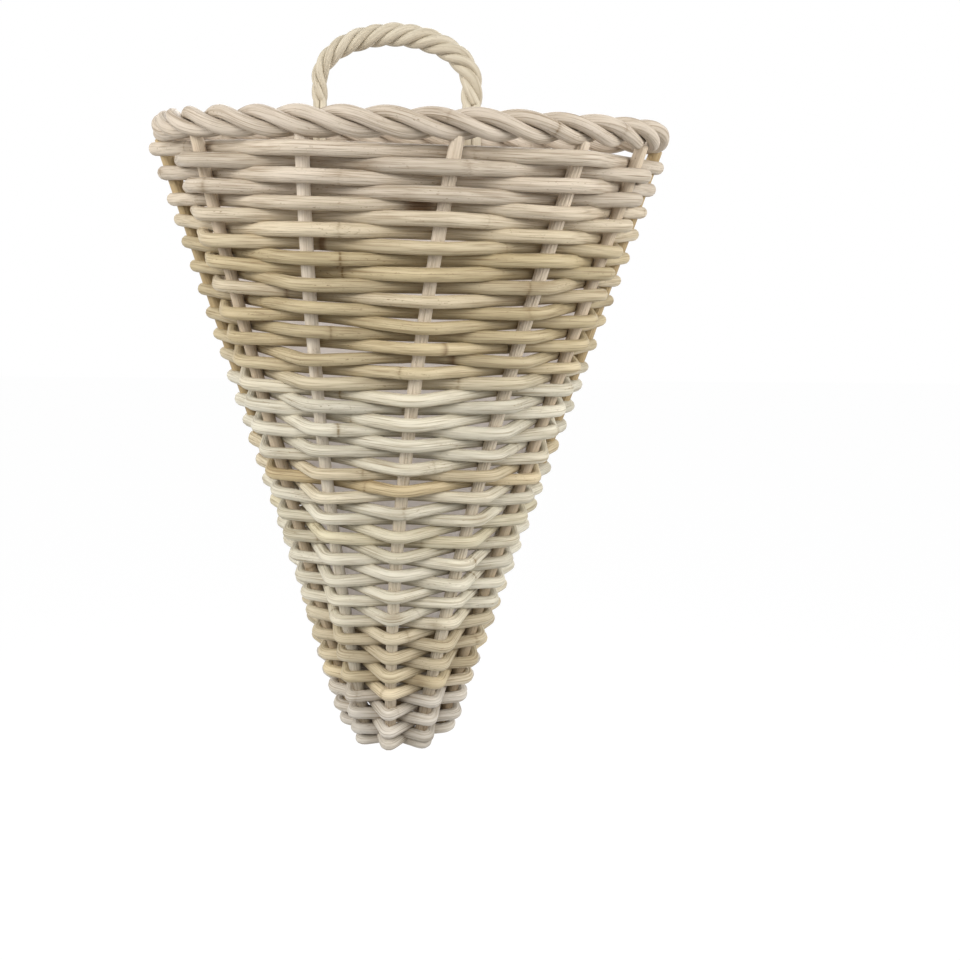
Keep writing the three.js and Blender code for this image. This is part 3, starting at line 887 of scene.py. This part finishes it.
for number, (first, last) in enumerate(zip([FIRST_PASS] + cuts, cuts + [LAST_PASS + 1])):
    held = np.flatnonzero((pass_at > first - HALF_PASS) & (pass_at < last - HALF_PASS))
    mine = np.arange(held[0], min(held[-1] + 2, len(spiral)))
    run = spiral[mine]
    run[-1] -= CUT_GAP * unit(run[-1] - run[-2])
    turn = pass_at[mine] / STAKES
    name = f"weaver_{number + 1:02d}"
    radius = WEAVER_RADIUS * girth[number] * (TOP_CANE_STOUTER if number == WEAVER_CANES - 1 else 1.0)
    step = FINE_STEP if number < FINE_STEP_CANES else PLAIN_STEP
    skin = weaver_skin(turn, shades[number])
    weaver = make_cane(name + "_rod", run, radius, WEAVER_SEED + number, skin, tuck=tuck_shade[mine],
                       step=step, scale=weaver_fullness(turn))
    fit(weaver, name, weaver_finish)
print("weavers:", WEAVER_CANES)

# %% [markdown]
# ## Border
# The rim is finished with three canes twisted together into a rope that covers the stake tops. A rope is
# a circle that travels along a line while it turns, so each cane is the rim line plus a turning offset.
# The line itself is a smooth curve through the stakes with its two corners cut round.

# %% Smooth lines
def smooth_line(points, per_span, closed=False):
    """A Catmull-Rom curve, which passes through every point."""
    points = np.asarray(points, dtype=float)
    if closed:
        padded = np.concatenate([points[-1:], points, points[:2]])
        spans = len(points)
    else:
        padded = np.concatenate([2 * points[:1] - points[1:2], points, 2 * points[-1:] - points[-2:-1]])
        spans = len(points) - 1
    share = np.linspace(0.0, 1.0, per_span, endpoint=False)[:, None]
    parts = []
    for k in range(spans):
        a, b, c, d = padded[k:k + 4]
        parts.append(0.5 * (2 * b + (c - a) * share + (2 * a - 5 * b + 4 * c - d) * share ** 2
                            + (3 * b - a - 3 * c + d) * share ** 3))
    line = np.concatenate(parts)
    return line if closed else np.concatenate([line, points[-1:]])


print("points on two smooth spans:", len(smooth_line(np.eye(3), 10)))

# %% Rim line
BORDER_RADIUS = 0.00846
CORNER_CUT = 0.016
rim_points = []
for index in range(STAKES):
    corner = stake_points(index, BORDER_RADIUS)
    if index in (0, FRONT_STAKES - 1):
        for neighbour in (index - 1, index + 1):
            other = stake_points(neighbour, BORDER_RADIUS)
            rim_points.append(corner + CORNER_CUT * unit(other - corner))
    else:
        rim_points.append(corner)
rim_loop = smooth_line(rim_points, 120, closed=True)
rim_loop = np.concatenate([rim_loop, rim_loop[:1]])
rim_at = path_length(rim_loop)
rim_stops = np.linspace(0.0, rim_at[-1], 900, endpoint=False)
rim = along_path(rim_loop, rim_at, rim_stops)
rim_tangent = unit(np.roll(rim, -1, axis=0) - np.roll(rim, 1, axis=0))
rim_outward = unit(np.cross(np.broadcast_to(UP, rim.shape), rim_tangent))
print("border length:", round(rim_at[-1], 3), "m")

# %% Border canes
BORDER_LAY_RADIUS = 0.00476
BORDER_CANE_RADIUS = 0.0038
BORDER_CANES = 3
BORDER_LAYS = 10
BORDER_SEED = 200
BORDER_SKIN = colour(186, 173, 155)
for number in range(BORDER_CANES):
    turn = 2 * np.pi * (BORDER_LAYS * rim_stops / rim_at[-1] + number / BORDER_CANES)
    run = rim + BORDER_LAY_RADIUS * (np.cos(turn)[:, None] * rim_outward + np.sin(turn)[:, None] * UP)
    run = np.concatenate([run, run[:1]])
    name = f"border_cane_{number + 1}"
    cane = make_cane(name + "_rod", run, BORDER_CANE_RADIUS, BORDER_SEED + number, BORDER_SKIN, sides=16,
                     closed=True)
    fit(cane, name, weaver_finish)
print("border canes:", BORDER_CANES)

# %% [markdown]
# ## Hoop
# Four slimmer canes are laid up into a stiff rope and bent into a hoop over the back of the rim. At each
# foot they part, two in front of the border and two behind it, and tuck in underneath. The hoop is made
# like the border, along an arch, and is a little slimmer on its left.

# %% Hoop line
HOOP_REACH = 0.0475
HOOP_RISE = 0.028
HOOP_RADIUS = 0.00668
WRAP_GAP = 0.0027
ARCH_POINTS = 200
HOOP_POINTS = 300
border_height = RIM_TOP - BORDER_RADIUS
hoop_spring = HOOP_RADIUS - HOOP_RISE
wrap_radius = BORDER_RADIUS + WRAP_GAP
leg_foot = border_height + wrap_radius + HOOP_RADIUS
sweep = np.linspace(np.pi, 0.0, ARCH_POINTS)
arch_height = hoop_spring + HOOP_RISE * np.sin(sweep)
arch = np.stack([HOOP_REACH * np.cos(sweep), np.zeros(ARCH_POINTS), arch_height], axis=1)
arch = np.concatenate([[[-HOOP_REACH, 0.0, leg_foot]], arch, [[HOOP_REACH, 0.0, leg_foot]]])
arch_at = path_length(arch)
arch_share = np.linspace(0.0, 1.0, HOOP_POINTS)
hoop_line = along_path(arch, arch_at, arch_share * arch_at[-1])
hoop_run = unit(np.gradient(hoop_line, axis=0))
hoop_out = np.stack([-hoop_run[:, 2], np.zeros(HOOP_POINTS), hoop_run[:, 0]], axis=1)
print("hoop length:", round(arch_at[-1], 3), "m")

# %% Hoop canes
HOOP_CANES = 4
HOOP_LAY_RADIUS = 0.0039
HOOP_CANE_RADIUS = 0.0029
HOOP_QUARTER_TWISTS = 13
HOOP_SEED = 300
HOOP_SKIN = colour(186, 176, 155)
TUCK_ANGLES = np.radians([40.0, 10.0, -25.0, -60.0])
FREE = 9


def tuck_points(end):
    """Points round the border, on the side where the end of a cane comes down."""
    sign = math.copysign(1.0, end[1])
    return np.stack([
        np.full(len(TUCK_ANGLES), end[0]),
        sign * wrap_radius * np.cos(TUCK_ANGLES),
        border_height + wrap_radius * np.sin(TUCK_ANGLES),
    ], axis=1)


fullness = np.interp(arch_share, [0.0, 0.12, 0.36, 0.6, 1.0], [0.70, 0.75, 0.97, 1.04, 1.0])
lay = HOOP_LAY_RADIUS * fullness
for number in range(HOOP_CANES):
    turn = (np.pi / 2) * (0.5 + number + HOOP_QUARTER_TWISTS * arch_share)
    run = hoop_line + (lay * np.cos(turn))[:, None] * hoop_out + (lay * np.sin(turn))[:, None] * TO_WALL
    left = smooth_line(np.concatenate([tuck_points(run[0])[::-1], run[:FREE:4]]), 10)
    right = smooth_line(np.concatenate([run[-FREE::4], tuck_points(run[-1])]), 10)
    run = np.concatenate([left, run[FREE:-FREE], right])
    left_scale = np.full(len(left), fullness[FREE])
    right_scale = np.full(len(right), fullness[-FREE])
    scale = np.concatenate([left_scale, fullness[FREE:-FREE], right_scale])
    name = f"hoop_cane_{number + 1}"
    cane = make_cane(name + "_rod", run, HOOP_CANE_RADIUS, HOOP_SEED + number, HOOP_SKIN,
                     reference=TO_WALL, sides=14, step=FINE_STEP, ring_spacing=0.6, scale=scale)
    fit(cane, name, rope_finish)
print("hoop canes:", HOOP_CANES)

# %% [markdown]
# ## Liner
# A thin milky plastic bag hangs inside, so that soil or water stays off the cane. It shows as pale slits
# between the rows. A cloth simulation would drape it, but the stiff film simply follows the weave, so it
# is lofted through rings that keep just inside, with slack upright folds. An outer and an inner wall give
# its edge a thickness.

# %% Liner shape
LINER_TOP = 0.027
LINER_FLOOR = 0.318
LINER_WALL = 0.0008
LINER_INSET = 0.0114
LINER_SLACK = 0.0012
LINER_ROWS = 48
LINER_SPAN = 14
SHARPEST_MITRE = 1.3


def liner_ring(depth, inset):
    """A level ring round the inside of the stakes, at an even distance from the wall."""
    index = np.arange(STAKES)
    along, outward = wall_directions(index, depth)
    here = stake_points(index, depth)
    leaving = unit(stake_points(index + 1, depth) - here)
    mitre = np.minimum(1.0 / np.sum(along * leaving, axis=1), SHARPEST_MITRE)
    posts = here - (inset * mitre)[:, None] * outward
    share = np.linspace(0.0, 1.0, LINER_SPAN, endpoint=False)[None, :, None]
    ring = (1 - share) * posts[:, None, :] + share * np.roll(posts, -1, axis=0)[:, None, :]
    return ring.reshape(-1, 3)


def liner_wall(inset):
    """Rings from the floor up, pushed in and out by two sets of folds."""
    rows = []
    for depth in np.linspace(LINER_FLOOR, LINER_TOP, LINER_ROWS):
        ring = liner_ring(depth, inset)
        middle = ring.mean(axis=0)
        around = np.linspace(0.0, 2 * np.pi, len(ring), endpoint=False)
        fold = 0.0007 * np.sin(17 * around + 9.0 * depth) + 0.0005 * np.sin(31 * around - 40.0 * depth)
        fold -= LINER_SLACK
        rows.append(ring + fold[:, None] * unit(ring - middle))
    return np.array(rows)


outer_wall = liner_wall(LINER_INSET)
inner_wall = liner_wall(LINER_INSET + LINER_WALL)
inner_wall[0, :, 2] += LINER_WALL
shell = np.concatenate([outer_wall, inner_wall[::-1]])
print("liner rings:", len(shell), "of", shell.shape[1], "points")

# %% Liner mesh
rows, around = shell.shape[:2]
faces = [quad[::-1] for quad in tube_faces(rows, around, False)]
points = shell.reshape(-1, 3).tolist()
for row, faces_down in ((0, True), (rows - 1, False)):
    middle = len(points)
    points.append(shell[row].mean(axis=0).tolist())
    for k in range(around):
        face = (row * around + k, row * around + (k + 1) % around, middle)
        faces.append(face[::-1] if faces_down else face)
liner_mesh = bpy.data.meshes.new("liner_film")
liner_mesh.from_pydata(points, [], faces)
liner_mesh.polygons.foreach_set("use_smooth", np.ones(len(faces), dtype=bool))
liner = bpy.data.objects.new("liner_film", liner_mesh)
scene.collection.objects.link(liner)
print("liner faces:", len(faces))

# %% [markdown]
# The film scatters light from the open top, so it is brighter near the rim. A full simulation of light in
# a thin milky sheet is slow and noisy. A translucent share and a faint glow that fades with depth look
# the same through the slits of the weave.

# %% Liner finish
GLOW_DEPTH = 0.20
THROUGH_SHARE = 0.45
milky = bpy.data.materials.new("milky_film")
milky.use_nodes = True
film = milky.node_tree
film.nodes.clear()
position = add_node(film, "ShaderNodeTexCoord").outputs["Object"]
mist = add_node(film, "ShaderNodeTexNoise", {"Vector": position, "Scale": 45.0, "Detail": 3.0})
cloud = mist.outputs["Fac"]
milk = blend(film, cloud, colour(229, 224, 221), colour(246, 243, 240))
crease = add_node(film, "ShaderNodeBump", {"Height": cloud, "Strength": 0.3, "Distance": 0.001})
gloss = add_node(film, "ShaderNodeMapRange", {"Value": cloud, "To Min": 0.3, "To Max": 0.5})
height = add_node(film, "ShaderNodeSeparateXYZ", {"Vector": position}).outputs["Z"]
glow = add_node(film, "ShaderNodeMapRange", {
    "Value": height, "From Min": RIM_TOP - GLOW_DEPTH, "From Max": RIM_TOP - LINER_TOP,
    "To Min": 0.2, "To Max": 0.55,
})
plastic = add_node(film, "ShaderNodeBsdfPrincipled", {
    "Base Color": milk, "Roughness": gloss.outputs[0], "Normal": crease.outputs[0],
    "Emission Color": colour(238, 234, 231), "Emission Strength": glow.outputs[0],
})
through = add_node(film, "ShaderNodeBsdfTranslucent", {"Color": milk, "Normal": crease.outputs[0]})
thin_film = add_node(film, "ShaderNodeMixShader", {"Fac": THROUGH_SHARE})
film.links.new(plastic.outputs[0], thin_film.inputs[1])
film.links.new(through.outputs[0], thin_film.inputs[2])
add_node(film, "ShaderNodeOutputMaterial", {"Surface": thin_film.outputs[0]})
fit(liner, "liner", milky)
print("liner finish:", milky.name)

# %% [markdown]
# ## Base
# Under the liner, a flat coil of cane with three short sticks across it closes the foot. Only glimpses
# show between the lowest rows, yet from below it is what keeps the foot from being a hole. Both are
# canes too: a spiral that shrinks by one cane's width each turn, and straight rods. Their places come
# from the boxes of their solids.

# %% Base coil
BASE_CANE_RADIUS = 0.0027
COIL_PITCH = 0.0057
COIL_EYE = 0.0044
COIL_POINTS = 160
COIL_SEED = 400
# Painted shade: the base canes are a darker brown than the weavers, for the glimpses of them between the
# lowest rows.
BASE_SHADED_SKIN = colour(142, 122, 95)
low, high = (np.array(corner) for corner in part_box("base_coil"))
coil_middle = 0.5 * (low + high)
coil_reach = 0.5 * (high - low)[:2] - BASE_CANE_RADIUS
coil_step = COIL_PITCH / coil_reach.min()
coil_turns = (1.0 - COIL_EYE / coil_reach.min()) / coil_step
swing = np.linspace(0.0, 2 * np.pi * coil_turns, COIL_POINTS)
shrink = 1.0 - coil_step * swing / (2 * np.pi)
coil = np.stack([
    coil_middle[0] + coil_reach[0] * shrink * np.cos(swing),
    coil_middle[1] + coil_reach[1] * shrink * np.sin(swing),
    np.full(COIL_POINTS, coil_middle[2]),
], axis=1)
coil_rod = make_cane("base_coil_rod", coil, BASE_CANE_RADIUS, COIL_SEED, BASE_SHADED_SKIN)
fit(coil_rod, "base_coil", weaver_finish)
print("coil turns:", round(float(coil_turns), 2))

# %% Base sticks
BASE_STICKS = 3
STICK_POINTS = 24
STICK_SEED = 410
for number in range(1, BASE_STICKS + 1):
    name = f"base_stick_{number}"
    low, high = (np.array(corner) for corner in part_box(f"base_stick_{number}"))
    stick = np.tile(0.5 * (low + high), (STICK_POINTS, 1))
    stick[:, 1] = np.linspace(low[1], high[1], STICK_POINTS)
    rod = make_cane(name + "_rod", stick, BASE_CANE_RADIUS, STICK_SEED + number, BASE_SHADED_SKIN)
    fit(rod, name, weaver_finish)
print("base sticks:", BASE_STICKS)
